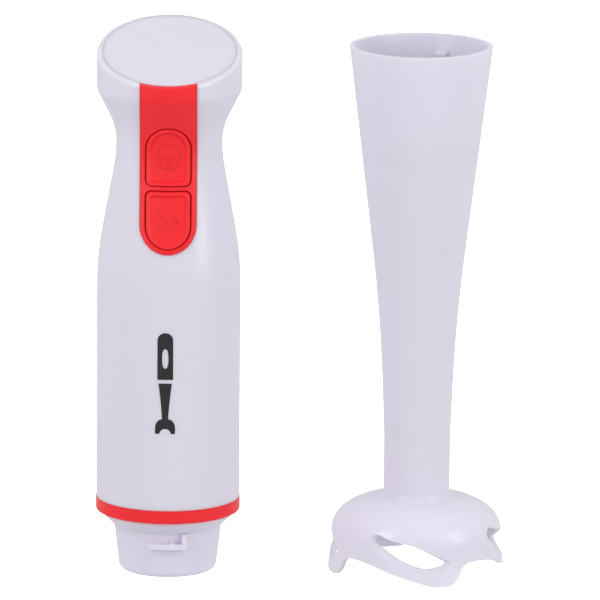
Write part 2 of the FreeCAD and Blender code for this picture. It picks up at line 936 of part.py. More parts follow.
def make_board():
    """The control board, its carrier, and the parts soldered to it."""
    face, thick, half = s.board_face, s.board_thick, s.board_half
    low, high = s.board_low, s.board_high
    back = face + thick
    hole_x = half - 2.5
    holes = [(x, z) for x in (-hole_x, hole_x) for z in (low + 3, high - 3)]
    board = block(-half, half, face, back, low, high)
    for x, z in holes:
        board = cut(board, rod(1.6, (x, face - 1, z), Vector(0, 1, 0), thick + 2))
    keep(board, "control_board", HANDLE)

    deep = size(4.0)
    carrier = block(-half - 2, half + 2, back, back + deep, low - 3, high + 1)
    hollow = block(-half + 5.5, half - 5.5, back - 1, back + deep - 1.4, low + 2, high - 2)
    carrier = cut(carrier, hollow)
    for x, z in holes:
        carrier = cut(carrier, rod(1.2, (x, back - 1, z), Vector(0, 1, 0), deep))
    keep(carrier, "board_carrier", HANDLE)

    screws = []
    for x, z in holes:
        shank = rod(1.2, (x, face, z), Vector(0, 1, 0), thick + deep - 1)
        head = rod(2.4, (x, face - 1.5, z), Vector(0, 1, 0), 1.5)
        screws.append(fused(shank, head))
    keep(group(*screws), "board_screws", HANDLE)

    diodes = []
    for row in range(2):
        for side in (-1, 1):
            x, z = side * 6.0, high - 14.0 + row * 4.5
            diodes.append(rod(1.3, (x - 2.5, face - 1.3, z), Vector(1, 0, 0), 5.0))
    keep(group(*diodes), "rectifier_diodes", HANDLE)

    capacitor = block(-6.5, 6.5, face - 5.5, face, low + 1, low + 6.5)
    keep(rounded(capacitor, size(0.8), lambda p: p.y < (face - 5.4).value), "noise_capacitor", HANDLE)
    choke = rod(3.5, (0, back + deep, low + 12), Vector(0, 1, 0), 9.0)
    bore = rod(1.2, (0, back + deep - 1, low + 12), Vector(0, 1, 0), 11.0)
    keep(cut(choke, bore), "choke", HANDLE)


# ---------------------------------------------------------------- motor


def make_motor_can():
    """The steel can: closed at the foot, with a boss for the front bush and two tapped holes."""
    low, high = s.motor_foot, s.motor_foot + s.motor_length
    wall, radius = s.can_wall, s.can_radius
    piece = Piece("motor_can")
    seat = s.bush_radius
    piece.revolve(
        [
            (seat, low - 2.5),
            (seat + 1.5, low - 2.5),
            (seat + 1.5, low),
            (radius - 1, low),
            (radius, low + 1, size(1.0)),
            (radius, high),
            (radius - wall, high),
            (radius - wall, low + wall),
            (seat + 1.5, low + wall),
            (seat + 1.5, low - 2.5 + s.bush_length),
            (seat, low - 2.5 + s.bush_length),
        ]
    )
    reach_in = s.recess_radius - 2.6
    piece.pocket("XY_Plane", low + wall, circles=[(reach_in, 0, 1.5), (-reach_in, 0, 1.5)], reverse=True)
    piece.done(HANDLE)


def make_bushes():
    low = s.motor_foot - 2.5
    bore = s.shaft_radius + s.running_gap
    turned("front_bush", tube(bore, s.bush_radius, low, low + s.bush_length), HANDLE)
    top = s.motor_foot + s.motor_length + 1.0
    turned("rear_bush", tube(bore, s.bush_radius, top, top + s.bush_length), HANDLE)


def make_magnets():
    """Two curved magnets against the inside of the can."""
    outer = s.can_radius - s.can_wall
    arcs = []
    for start in (-65.0, 115.0):
        arc = revolved(tube(s.magnet_inner, outer, s.magnet_low, s.magnet_high), 130.0)
        arc.Placement = Placement(Vector(), Rotation(Vector(0, 0, 1), start))
        arcs.append(arc)
    keep(group(*arcs), "magnets", HANDLE)


def make_endcap():
    """The black end cap: carries the rear bush and a box for each brush."""
    high = s.motor_foot + s.motor_length
    inner = s.can_radius - s.can_wall
    seat = s.bush_radius
    boss_top = high + 1 + s.bush_length
    cap = revolved(
        [
            (s.commutator_radius + 2.5, high - 9),
            (inner, high - 9),
            (inner, high),
            (s.can_radius, high),
            (s.can_radius, high + 2),
            (seat + 2, high + 2),
            (seat + 2, boss_top),
            (seat, boss_top),
            (seat, high + 1),
            (s.shaft_radius + 1, high + 1),
            (s.shaft_radius + 1, high - 1),
            (s.commutator_radius + 2.5, high - 1),
        ]
    )
    middle = (s.commutator_low + s.commutator_high) / 2
    half = s.brush_side / 2 + 0.6
    slot = block(-inner - 1, inner + 1, -half, half, middle - half, middle + half)
    inside = rod(inner - 0.8, (0, 0, middle - 6), Vector(0, 0, 1), 12)
    keep(cut(cap, common(slot, inside)), "motor_endcap", HANDLE)


def make_brushes():
    """Per side: a brass holder, the carbon brush in it, and the spring behind the brush."""
    middle = (s.commutator_low + s.commutator_high) / 2
    half = s.brush_side / 2
    near = s.commutator_radius + s.brush_gap
    far = near + s.brush_length
    end = s.can_radius - s.can_wall - 1.6
    box_near = s.commutator_radius + 2.5
    holders, brushes, springs = [], [], []
    for side in (-1, 1):

        def along(low, high, width):
            x_low, x_high = (low, high) if side > 0 else (-high, -low)
            return block(x_low, x_high, -width, width, middle - width, middle + width)

        holders.append(cut(along(box_near, end, half + 0.6), along(box_near - 1, end - 0.6, half)))
        brushes.append(along(near, far, half))
        # the spring is drawn as a closed coil: a short tube that fills its wound length
        reach = end - 0.6 - far
        outer = rod(half - 0.3, (far * side, 0, middle), Vector(side, 0, 0), reach)
        inner = rod(half - 0.8, (far * side, 0, middle), Vector(side, 0, 0), reach)
        springs.append(cut(outer, inner))
    keep(group(*holders), "brush_holders", HANDLE)
    keep(group(*brushes), "carbon_brushes", HANDLE)
    keep(group(*springs), "brush_springs", HANDLE)


def make_rotor():
    """What turns in the motor: shaft, laminated core, windings, commutator and the drive coupler."""
    shaft_low = size(2.5)
    shaft_high = s.motor_foot + s.motor_length + 1 + s.bush_length + 1.5
    shaft = s.shaft_radius
    piece = Piece("motor_shaft")
    piece.revolve(
        [
            (0, shaft_low),
            (shaft - 0.4, shaft_low),
            (shaft, shaft_low + 0.4),
            (shaft, shaft_high),
            (0, shaft_high),
        ]
    )
    piece.done(HANDLE)

    core = Piece("armature_core")
    core.revolve(tube(shaft, s.core_radius, s.core_low, s.core_high))
    neck, deep = size(1.1), size(5.5)
    slot = rectangle(s.core_radius - deep, s.core_radius + 1, -neck, neck)
    cutter = core.pocket("XY_Plane", s.core_high, [slot], reverse=True)
    core.polar([cutter], size(7.0))
    core.done(HANDLE)

    heads = []
    for low, high in (
        (s.core_low - s.winding_depth, s.core_low),
        (s.core_high, s.core_high + s.winding_depth),
    ):
        head = revolved(tube(shaft + 1.2, s.winding_radius, low, high))
        soft = size(1.6)
        edge = s.winding_radius.value
        heads.append(rounded(head, soft, lambda p: abs(distance(p) - edge) < 0.02))
    keep(group(*heads), "armature_windings", HANDLE)

    bars = Piece("commutator")
    low, high, radius = s.commutator_low, s.commutator_high, s.commutator_radius
    bars.revolve(
        [
            (shaft, low),
            (radius + 0.8, low),
            (radius + 0.8, low + 0.8),
            (radius, low + 0.8),
            (radius, high),
            (shaft, high),
        ]
    )
    gap = rectangle(radius - 1, radius + 1.5, -0.2, 0.2)
    cutter = bars.pocket("XY_Plane", high, [gap], reverse=True)
    bars.polar([cutter], size(7.0))
    bars.done(HANDLE)

    coupler = Piece("drive_coupler")
    across = s.hex_flat / 2 - 0.25
    coupler.pad("XY_Plane", 8.8, [hexagon(across)], lift=size(1.2))
    coupler.pad("XY_Plane", 2.0, circles=[(0, 0, 5.4)], lift=size(10.0))
    coupler.pocket("XY_Plane", 20.0, circles=[(0, 0, shaft)], lift=shaft_low, reverse=True)
    coupler.done(HANDLE)


def hexagon(across):
    """A hexagon about the axis, from half its width across the flats."""
    reach = across / cosine(30)
    return [(reach * cosine(60 * k), reach * sine(60 * k)) for k in range(6)]


def make_motor_mounts():
    """The rubber rings that hold the motor, its two screws, and its two leads."""
    low = s.motor_foot - 2.5
    bore = s.bush_radius + 1.5
    cavity = s.body_radius - 2 * s.wall
    turned("motor_seat", tube(bore + 6, cavity, low, s.motor_foot), HANDLE)
    top = s.motor_foot + s.motor_length
    inner = s.body_radius - s.wall
    piece = Piece("motor_cradle")
    piece.revolve(
        [
            (s.can_radius, top - 10),
            (inner, top - 10),
            (inner, top + 5),
            (s.can_radius - 3, top + 5),
            (s.can_radius - 3, top + 2),
            (s.can_radius, top + 2),
        ]
    )
    piece.done(HANDLE)

    reach_in = s.recess_radius - 2.6
    screws = []
    for side in (-1, 1):
        x = reach_in * side
        shank = rod(1.5, (x, 0, s.recess_depth), Vector(0, 0, 1), s.motor_foot + s.can_wall - s.recess_depth)
        head = rod(2.4, (x, 0, s.recess_depth - 1.8), Vector(0, 0, 1), 1.8)
        screws.append(fused(shank, head))
    keep(group(*screws), "motor_screws", HANDLE)


def make_motor_leads():
    """Two insulated leads from the brush holders up to the board."""
    high = (s.motor_foot + s.motor_length).value + 2
    board = s.board_low.value - 3
    leads = []
    for side in (-1, 1):
        foot = Vector(12 * side, 0, high)
        knee = Vector(12 * side, 0, high + 14)
        hip = Vector(9 * side, 9, board - 6)
        end = Vector(9 * side, 9, board + 8)
        leads.append(wire_along([foot, knee, hip, end], 0.9))
    made = doc.addObject("Part::Feature", "motor_leads")
    made.Shape = Part.makeCompound(leads)
    keep(made, "motor_leads", HANDLE)


def wire_along(points, radius):
    """A round lead along straight runs joined by tangent arcs."""
    edges = []
    start = points[0]
    for before, corner, after in zip(points, points[1:], points[2:]):
        to_before = (before - corner).normalize()
        to_after = (after - corner).normalize()
        half_turn = (math.pi - to_before.getAngle(to_after)) / 2
        back = 0.45 * min((before - corner).Length, (after - corner).Length)
        first, last = corner + to_before * back, corner + to_after * back
        bulge = (to_before + to_after).normalize()
        bend = back / math.tan(half_turn)
        middle = corner + bulge * (bend / math.cos(half_turn) - bend)
        edges.append(Part.LineSegment(start, first).toShape())
        edges.append(Part.Arc(first, middle, last).toShape())
        start = last
    edges.append(Part.LineSegment(start, points[-1]).toShape())
    path = Part.Wire(edges)
    heading = (points[1] - points[0]).normalize()
    section = Part.Wire(Part.makeCircle(radius, points[0], heading))
    return path.makePipeShell([section], True, False)


# ---------------------------------------------------------------- leg: housing

# The bell's lower edge over one quarter turn: degrees on from the middle of a foot, and height.
RIM = [
    (-11.8, 4.0),
    (-9.5, 1.9),
    (-5.0, 0.1),
    (3.0, -0.3),
    (17.7, 1.6),
    (35.4, 4.5),
    (51.3, 7.0),
    (65.0, 7.9),
    (73.0, 7.4),
    (77.0, 5.8),
]
# One crescent slot on the bell's outer skin: degrees on from the middle of a foot, and height.
SLOT_TOP = [(-4.6, 9.0), (8.7, 12.6), (24.0, 15.7), (40.5, 17.7), (50.6, 18.2)]
SLOT_LOW = [
    (52.0, 16.4),
    (47.8, 13.6),
    (39.7, 10.2),
    (28.4, 7.2),
    (17.7, 5.5),
    (8.9, 5.0),
    (1.6, 6.0),
    (-3.9, 7.9),
]
QUARTERS = 4
# The seal's pocket under the lower bush: how much wider than the bush, and how deep.
SEAL_STEP = 1.5
SEAL_DEPTH = 3.5


def bell_point(bearing, height, radius):
    """A point on the bell. Bearings run clockwise seen from above, from the middle of the front foot."""
    angle = math.radians(s.foot_bearing.value - bearing)
    return Vector(radius * math.cos(angle), radius * math.sin(angle), height)


def closed_curve(points):
    curve = Part.BSplineCurve()
    curve.interpolate(points, PeriodicFlag=True)
    return curve


def below_rim():
    """The ring-shaped tool that scallops the bell's lower edge."""
    near, far, deep = 24.0, 40.0, -6.0
    ring = [(q * 90.0 + bearing, height) for q in range(QUARTERS) for bearing, height in RIM]
    upper = [closed_curve([bell_point(b, h, r) for b, h in ring]).toShape() for r in (near, far)]
    lower = [closed_curve([bell_point(b, deep, r) for b, h in ring]).toShape() for r in (near, far)]
    faces = [
        Part.makeRuledSurface(upper[0], upper[1]),
        Part.makeRuledSurface(lower[0], lower[1]),
        Part.makeRuledSurface(upper[0], lower[0]),
        Part.makeRuledSurface(upper[1], lower[1]),
    ]
    shell = Part.Shell([face for made in faces for face in made.Faces])
    shell.sewShape()
    solid = Part.Solid(shell)
    if solid.Volume < 0:
        solid.reverse()
    return solid


def slot_wire(turn, radius, lip):
    """The slot's outline at a radius, its low side raised by a lip that fades out towards both tips."""
    middle, half, pull = 23.0, 28.0, 0.05
    corners = [(bearing, height - 0.15 * lip) for bearing, height in SLOT_TOP]
    for bearing, height in SLOT_LOW:
        fade = max(0.0, 1.0 - ((bearing - middle) / half) ** 4)
        corners.append((bearing, height + lip * fade))
    points = [bell_point(turn + b + (middle - b) * pull * lip, h, radius) for b, h in corners]
    return Part.Wire(closed_curve(points).toShape())


def slot_tool(turn):
    """A flared punch: full size at the outer skin, smaller at the inner one, so that the slot has a lip."""
    outer = s.dome_radius.value
    sections = [
        slot_wire(turn, outer + 5.0, 0.0),
        slot_wire(turn, outer - 0.4, 0.0),
        slot_wire(turn, outer - s.bell_wall.value - 0.2, s.slot_lip.value),
        slot_wire(turn, outer - 7.0, s.slot_lip.value),
    ]
    return Part.makeLoft(sections, True, True)


def dome_curve(inset):
    """The bell's shoulder, from its widest to near the neck, as a squared-off quarter ellipse."""
    radius, foot = s.dome_radius.value - inset, s.dome_foot.value
    top, inner, power = s.dome_top.value - inset, s.dome_inner.value, s.dome_power.value
    steps = 14
    points = []
    for step in range(steps + 1):
        angle = math.pi / 2 * step / steps
        r = inner + (radius - inner) * math.cos(angle) ** (2 / power)
        z = foot + (top - foot) * math.sin(angle) ** (2 / power)
        points.append(Vector(r, 0, z))
    curve = Part.BSplineCurve()
    curve.interpolate(points)
    return curve.toShape()


def flare_edge(inset):
    """The bell's skirt, from its lower edge to its widest plain point."""
    low = Vector(s.bell_radius.value - inset, 0, 0)
    high = Vector(s.dome_radius.value - inset, 0, s.dome_foot.value)
    spread = s.bell_radius.value - s.dome_radius.value
    middle = Vector(high.x + spread / 4, 0, s.dome_foot.value / 2)
    return Part.Arc(low, middle, high).toShape()


def lines(points):
    return [Part.makeLine(Vector(a[0], 0, a[1]), Vector(b[0], 0, b[1])) for a, b in zip(points, points[1:])]


def cone_side(inset):
    """Corners of the leg's long side: mouth, foot of the straight cone, end of the bend, top of the neck."""
    height, foot, neck_top = s.leg_height.value, s.cone_foot.value, s.neck_top.value
    steep, slight = math.radians(s.cone_angle.value), math.radians(s.lower_angle.value)
    bend = s.cone_bend.value
    mouth = s.mouth_radius.value
    foot_radius = mouth - (height - foot) * math.tan(steep)
    drop = bend * (math.sin(steep) - math.sin(slight))
    low_radius = foot_radius - bend * (math.cos(slight) - math.cos(steep))
    low = foot - drop
    middle_angle = (steep + slight) / 2
    middle = (
        foot_radius - bend * (math.cos(middle_angle) - math.cos(steep)) - inset,
        foot - bend * (math.sin(steep) - math.sin(middle_angle)),
    )
    return {
        "mouth": (mouth - inset, height),
        "foot": (foot_radius - inset, foot),
        "middle": middle,
        "low": (low_radius - inset, low),
        "neck": (s.neck_radius.value - inset, neck_top),
    }


def bend_edge(side):
    a, b, c = (Vector(side[name][0], 0, side[name][1]) for name in ("foot", "middle", "low"))
    return Part.Arc(a, b, c).toShape()


def profile_solid(edges):
    face = Part.Face(Part.Wire(Part.__sortEdges__(edges)))
    return face.revolve(Vector(0, 0, 0), Vector(0, 0, 1), 360)


def make_leg_housing():
    """The white leg: one moulding from the mouth that takes the handle to the bell that covers the blade."""
    thin = s.bell_wall.value
    outer, inner = cone_side(0.0), cone_side(s.leg_wall.value)
    height, neck, top = s.leg_height.value, s.neck_radius.value, s.dome_top.value
    floor, boss_low = s.floor_height.value, s.boss_low.value
    hub, rim, bush = s.dome_inner.value, s.bell_radius.value, s.bush_radius.value

    column = lines([outer["mouth"], outer["foot"]]) + [bend_edge(outer)]
    column += lines([outer["low"], outer["neck"], (neck, top - thin), (0, top - thin)])
    column += lines([(0, top - thin), (0, height), outer["mouth"]])
    bell = [dome_curve(0.0), flare_edge(0.0)]
    bell += lines([(rim, 0), (0, 0), (0, top), (hub, top)])
    hollow = [dome_curve(thin), flare_edge(thin)]
    hollow += lines([(rim - thin, 0), (0, 0), (0, top - thin), (hub, top - thin)])
    bore = lines([inner["mouth"], inner["foot"]]) + [bend_edge(inner)]
    bore += lines([inner["low"], inner["neck"], (inner["neck"][0], floor), (0, floor)])
    bore += lines([(0, floor), (0, height), inner["mouth"]])

    # the column on the bell, with the crease between them rounded before either is hollowed
    solid = profile_solid(column).fuse(profile_solid(bell)).removeSplitter()
    round_neck = [e for e in solid.Edges if all(abs(distance(p) - neck) < 0.05 for p in e.discretize(5))]
    crease = [e for e in round_neck if abs(e.Vertexes[0].Point.z - top) < 1.5]
    solid = solid.makeFillet(s.neck_round.value, crease)
    solid = solid.cut(profile_solid(hollow))
    # the boss that holds the lower bush, and the pocket under it for the seal
    boss = Part.makeCylinder(s.boss_radius.value, floor - boss_low - 2, Vector(0, 0, boss_low))
    solid = solid.fuse(boss)
    solid = solid.cut(profile_solid(bore))
    solid = solid.cut(Part.makeCylinder(bush, floor, Vector(0, 0, boss_low - 1)))
    solid = solid.cut(Part.makeCylinder(bush + SEAL_STEP, boss_low + SEAL_DEPTH - 1, Vector(0, 0, 1)))

    solid = solid.cut(below_rim())
    for quarter in range(QUARTERS):
        solid = solid.cut(slot_tool(quarter * 90.0))
    for turn in (0, 180):
        solid = solid.fuse(bayonet_lug(turn))
    made = doc.addObject("Part::Feature", "leg_housing")
    made.Shape = solid.removeSplitter()
    keep(made, "leg_housing", LEG)


def bayonet_lug(turn):
    """A lug inside the mouth that turns in behind a rib of the spigot."""
    inner = cone_side(s.leg_wall.value)["mouth"][0] + s.leg_wall.value / 3
    low, high, reach = s.lug_low.value, s.lug_high.value, s.lug_reach.value
    draft = 0.6
    section = [(reach, low + draft), (inner, low), (inner, high), (reach, high - draft)]
    corners = [Vector(x, 0, z) for x, z in section]
    face = Part.Face(Part.makePolygon(corners + corners[:1]))
    lug = face.revolve(Vector(), Vector(0, 0, 1), s.lug_span.value)
    lug.rotate(Vector(), Vector(0, 0, 1), s.lug_bearing.value - s.lug_span.value / 2 + turn)
    return lug.common(profile_solid(mouth_plug()))


def mouth_plug():
    """Everything inside the middle of the mouth's wall, so that a lug ends within it."""
    side = cone_side(s.leg_wall.value / 2)
    height = s.leg_height.value
    return lines([side["mouth"], side["foot"], (0, side["foot"][1]), (0, height), side["mouth"]])


# ---------------------------------------------------------------- leg: drive line


def make_leg_drive():
    """Bearings, seal, shaft, coupler cup and blade."""
    gap = s.running_gap
    shaft = s.shaft_radius
    seat, boss_low, floor = s.bush_radius, s.boss_low, s.floor_height
    turned("lower_bush", tube(shaft + gap, seat, boss_low + SEAL_DEPTH, floor - 1), LEG)

    seal = Piece("shaft_seal")
    lip = shaft + gap
    pocket = seat + SEAL_STEP
    seal.revolve(
        [
            (lip, boss_low + 0.4),
            (lip + 1, boss_low + 0.4),
            (lip + 1.4, boss_low + 2.2),
            (pocket - 1, boss_low + 2.2),
            (pocket - 1, boss_low + 0.2),
            (pocket, boss_low + 0.2),
            (pocket, boss_low + SEAL_DEPTH),
            (lip + 0.6, boss_low + SEAL_DEPTH),
        ]
    )
    seal.done(LEG)

    make_bearing_carrier()
    low, high = s.carrier_low, s.carrier_high
    turned("upper_bush", tube(shaft + gap, seat, low, high), LEG)

    piece = Piece("blade_shaft")
    bottom, top = s.leg_shaft_low, s.leg_shaft_top
    piece.revolve([(0, bottom), (shaft, bottom), (shaft, top - 0.5), (shaft - 0.5, top), (0, top)])
    piece.done(LEG)

    turned("thrust_washer", tube(shaft + gap, size(4.6), high + 0.05, high + 0.75), LEG)
    rings = [(0, 0, 4.2), (0, 0, shaft)]
    clip = cut(
        extruded(Rotation(), Vector(0, 0, 1), high + 1.45, -(high + 0.75), circles=rings),
        block(-1.6, 1.6, size(0), size(6), high, high + 2),
    )
    keep(clip, "retaining_clip", LEG)

    cup = Piece("shaft_coupler")
    soft = size(1.0)
    cup.revolve(
        [
            (shaft, s.cup_low),
            (s.cup_radius - 1, s.cup_low),
            (s.cup_radius, s.cup_low + 1, soft),
            (s.cup_radius, s.cup_high - 1),
            (s.cup_radius - 1, s.cup_high, soft),
            (shaft, s.cup_high),
        ]
    )
    deep = s.cup_high - s.leg_shaft_top
    cup.pocket("XY_Plane", deep, [hexagon(s.hex_flat / 2)], lift=s.cup_high)
    cup.done(LEG)

    make_blade()


def make_bearing_carrier():
    """The spoked plate pressed into the cone, which holds the upper bush."""
    low, high = s.carrier_low, s.carrier_high
    slope = tangent(s.cone_angle)
    rim_low = s.mouth_radius - s.leg_wall - (s.leg_height - low) * slope
    web = s.carrier_web
    edge = size(9.0)
    piece = Piece("bearing_carrier")
    piece.revolve(
        [
            (s.bush_radius, low),
            (rim_low, low),
            (rim_low + edge * slope, low + edge),
            (rim_low + edge * slope - 1.6, low + edge),
            (rim_low + web * slope - 1.6, low + web),
            (s.hub_radius, low + web),
            (s.hub_radius, high),
            (s.bush_radius, high),
        ]
    )
    gap = (rim_low + s.hub_radius) / 2
    half = (rim_low - s.hub_radius) / 2 - 1.8
    hole = piece.pocket("XY_Plane", low + web + 1, circles=[(gap, 0, half)], reverse=True)
    piece.polar([hole], size(6.0))
    piece.done(LEG)


def make_blade():
    """Two-winged steel blade between its hub and a dome nut."""
    low, thick, shaft = s.blade_height, s.blade_thick, s.shaft_radius
    base, hub_top = low + thick, s.boss_low - s.hub_gap
    turned(
        "blade_hub",
        [(shaft, base), (5.4, base), (5.4, base + 2.0), (4.4, hub_top, size(3.4)), (shaft, hub_top)],
        LEG,
    )
    nut = Piece("blade_nut")
    foot = s.leg_shaft_low
    nut.pad("XY_Plane", low - foot, [hexagon(size(4.0))], lift=foot)
    nut.pocket("XY_Plane", 20.0, circles=[(0, 0, shaft)], reverse=True)
    nut.revolve([(0, foot - s.nut_dome), (2.4, foot - s.nut_dome * 0.65, size(6.0)), (3.8, foot), (0, foot)])
    nut.done(LEG)

    bore = shaft.value
    base, reach, width = low.value, s.blade_reach.value, s.blade_width.value
    plate = Part.makeCylinder(7.0, thick.value, Vector(0, 0, base))
    for turn, tilt in ((0.0, -s.wing_fall.value), (180.0, s.wing_rise.value)):
        wing = blade_wing(base, reach, width, thick.value)
        wing.rotate(Vector(5.8, 0, base + thick.value / 2), Vector(0, -1, 0), tilt)
        wing.rotate(Vector(), Vector(0, 0, 1), turn)
        plate = plate.fuse(wing)
    plate = plate.cut(Part.makeCylinder(bore, 40, Vector(0, 0, base - 20)))
    made = doc.addObject("Part::Feature", "blade")
    made.Shape = plate.removeSplitter()
    keep(made, "blade", LEG)


def blade_wing(base, reach, width, thick):
    """One wing: swept back to a rounded tip, with a ground edge on its leading side."""
    half = width / 2
    start = Vector(5.6, -half * 0.7, base)
    tip_low = Vector(reach, -half * 0.1, base)
    tip_high = Vector(reach - 2.5, half * 0.75, base)
    back = Vector(5.6, half * 0.7, base)
    edges = [
        Part.Arc(start, Vector(reach * 0.6, -half * 0.78, base), tip_low).toShape(),
        Part.Arc(tip_low, Vector(reach - 0.4, half * 0.45, base), tip_high).toShape(),
        Part.makeLine(tip_high, back),
        Part.makeLine(back, start),
    ]
    wing = Part.Face(Part.Wire(edges)).extrude(Vector(0, 0, thick))
    grind = Part.makeBox(reach * 1.4, 4.0, 4.0)
    grind.rotate(Vector(), Vector(1, 0, 0), -22)
    grind.translate(Vector(4.0, -half - 2.45, base + thick * 0.55))
    grind.rotate(Vector(4.0, -half, base), Vector(0, 0, 1), 10)
    return wing.cut(grind)


# ---------------------------------------------------------------- build and write


def build():
    make_handle_shell()
    make_top_cap()
    make_trim_ring()
    make_coupling_housing()
    make_cord_gland()
    make_gland_clip()
    make_switch_panel()
    make_switches()
    make_board()
    make_motor_can()
    make_bushes()
    make_magnets()
    make_endcap()
    make_brushes()
    make_rotor()
    make_motor_mounts()
    make_motor_leads()
    make_leg_housing()
    make_leg_drive()


def write():
    doc.recompute()
    for item in doc.Objects:
        if "Invalid" in item.State or "Error" in item.State:
            raise RuntimeError(f"{item.Label} ({item.Name}) failed: {item.State}")
    os.makedirs("parts", exist_ok=True)
    for item in sub_parts:
        shape = item.Shape
        if shape.isNull() or not shape.isValid() or not shape.Solids:
            raise RuntimeError(f"{item.Label} has no valid solid")
        box = shape.BoundBox
        print(
            f"{item.Label:20s} solids {len(shape.Solids)}  volume {shape.Volume:9.1f}  "
            f"z {box.ZMin:7.2f} {box.ZMax:7.2f}  x {box.XMin:7.2f} {box.XMax:7.2f}  "
            f"y {box.YMin:6.2f} {box.YMax:6.2f}"
        )
        shape.exportStep(os.path.join("parts", f"{item.Label}.step"))


build()
write()
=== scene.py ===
import json
import math

import bmesh
import bpy
from mathutils import Matrix, Vector
from mathutils.bvhtree import BVHTree


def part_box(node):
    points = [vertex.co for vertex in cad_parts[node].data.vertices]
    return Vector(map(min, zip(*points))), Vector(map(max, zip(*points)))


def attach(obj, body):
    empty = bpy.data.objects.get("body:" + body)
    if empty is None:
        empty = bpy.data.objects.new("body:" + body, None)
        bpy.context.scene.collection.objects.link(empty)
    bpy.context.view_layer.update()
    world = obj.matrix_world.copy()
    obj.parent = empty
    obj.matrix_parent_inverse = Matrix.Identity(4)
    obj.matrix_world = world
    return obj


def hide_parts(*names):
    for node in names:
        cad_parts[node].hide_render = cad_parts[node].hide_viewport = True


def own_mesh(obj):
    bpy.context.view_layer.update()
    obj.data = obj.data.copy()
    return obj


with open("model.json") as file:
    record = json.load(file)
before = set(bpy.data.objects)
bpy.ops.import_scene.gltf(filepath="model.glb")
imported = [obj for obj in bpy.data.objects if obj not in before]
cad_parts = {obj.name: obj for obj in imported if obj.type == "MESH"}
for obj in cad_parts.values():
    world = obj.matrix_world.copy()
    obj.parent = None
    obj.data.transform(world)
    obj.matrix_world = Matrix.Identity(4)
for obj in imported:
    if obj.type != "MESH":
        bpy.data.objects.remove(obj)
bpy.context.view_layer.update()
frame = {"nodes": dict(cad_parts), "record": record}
nodes = frame["nodes"]

MM = 0.001

# ---------------------------------------------------------------- material building


class Recipe:
    """One node material: a Principled shader with helpers that feed it patterns in the object's own space."""

    def __init__(self, name):
        self.material = bpy.data.materials.new(name)
        self.material.use_nodes = True
        self.tree = self.material.node_tree
        self.shader = self.tree.nodes["Principled BSDF"]
        coordinates = self.tree.nodes.new("ShaderNodeTexCoord")
        self.place = coordinates.outputs["Object"]

    def node(self, kind, **values):
        made = self.tree.nodes.new(kind)
        for key, value in values.items():
            setattr(made, key, value)
        return made

    def link(self, source, target):
        self.tree.links.new(source, target)

    def set(self, **sockets):
        """Sets constant sockets of the shader; an underscore in a name stands for a space."""
        for key, value in sockets.items():
            self.shader.inputs[key.replace("_", " ")].default_value = value

    def stretched(self, x=1.0, y=1.0, z=1.0):
        """The object's coordinates, scaled along each axis, so that a pattern can run along one of them."""
        mapping = self.node("ShaderNodeMapping")
        mapping.inputs["Scale"].default_value = (x, y, z)
        self.link(self.place, mapping.inputs["Vector"])
        return mapping.outputs["Vector"]

    def noise(self, feature, detail=3.0, roughness=0.5, place=None):
        """Noise whose blobs are about feature metres across, from 0 to 1."""
        texture = self.node("ShaderNodeTexNoise")
        texture.inputs["Scale"].default_value = 1.0 / feature
        texture.inputs["Detail"].default_value = detail
        texture.inputs["Roughness"].default_value = roughness
        self.link(place or self.place, texture.inputs["Vector"])
        return texture.outputs["Fac"]

    def remap(self, value, low, high, from_low=0.3, from_high=0.7):
        ranged = self.node("ShaderNodeMapRange")
        ranged.inputs["From Min"].default_value = from_low
        ranged.inputs["From Max"].default_value = from_high
        ranged.inputs["To Min"].default_value = low
        ranged.inputs["To Max"].default_value = high
        self.link(value, ranged.inputs["Value"])
        return ranged.outputs["Result"]

    def between(self, factor, dark, light):
        """A colour from dark to light by factor."""
        mix = self.node("ShaderNodeMix", data_type="RGBA")
        colours = [socket for socket in mix.inputs if socket.type == "RGBA"]
        colours[0].default_value = (*dark, 1.0)
        colours[1].default_value = (*light, 1.0)
        self.link(factor, mix.inputs["Factor"])
        return next(socket for socket in mix.outputs if socket.type == "RGBA")

    def colour(self, source):
        self.link(source, self.shader.inputs["Base Color"])

    def roughness(self, source):
        self.link(source, self.shader.inputs["Roughness"])

    def relief(self, height, depth, strength):
        """A bump that is depth metres high where the height pattern is 1."""
        bump = self.node("ShaderNodeBump")
        bump.inputs["Strength"].default_value = strength
        bump.inputs["Distance"].default_value = depth
        self.link(height, bump.inputs["Height"])
        self.link(bump.outputs["Normal"], self.shader.inputs["Normal"])


def tint(colour, amount):
    return tuple(max(0.0, min(1.0, channel * amount)) for channel in colour)


# How far apart a moulding's flow clouds and its duller patches are, and how deep light goes into it.
FLOW_SIZE = 30 * MM
PATCH_SIZE = 26 * MM
LIGHT_REACH = 4.0 * MM


def moulding(
    name, colour, rough, mottle=0.02, grain=0.5 * MM, depth=0.004 * MM, coat=0.0, soft=0.0, sheen=0.5
):
    """Injection-moulded plastic: faint flow clouds, a fine tooled skin, and patches a little duller."""
    paint = Recipe(name)
    flow = paint.noise(FLOW_SIZE, 2.0, 0.5, paint.stretched(1.0, 1.0, 0.35))
    paint.colour(paint.between(flow, tint(colour, 1.0 - mottle), tint(colour, 1.0 + mottle)))
    handled = paint.noise(PATCH_SIZE, 2.0, 0.5)
    paint.roughness(paint.remap(handled, rough - 0.015, rough + 0.02))
    skin = paint.noise(grain, 2.0, 0.5)
    paint.relief(skin, depth, 0.2)
    paint.set(Coat_Weight=coat, Coat_Roughness=0.12, IOR=1.49, Specular_IOR_Level=sheen)
    if soft:
        paint.set(Subsurface_Weight=soft, Subsurface_Scale=LIGHT_REACH)
        paint.set(Subsurface_Radius=(1.0, 0.9, 1.0))
    return paint.material


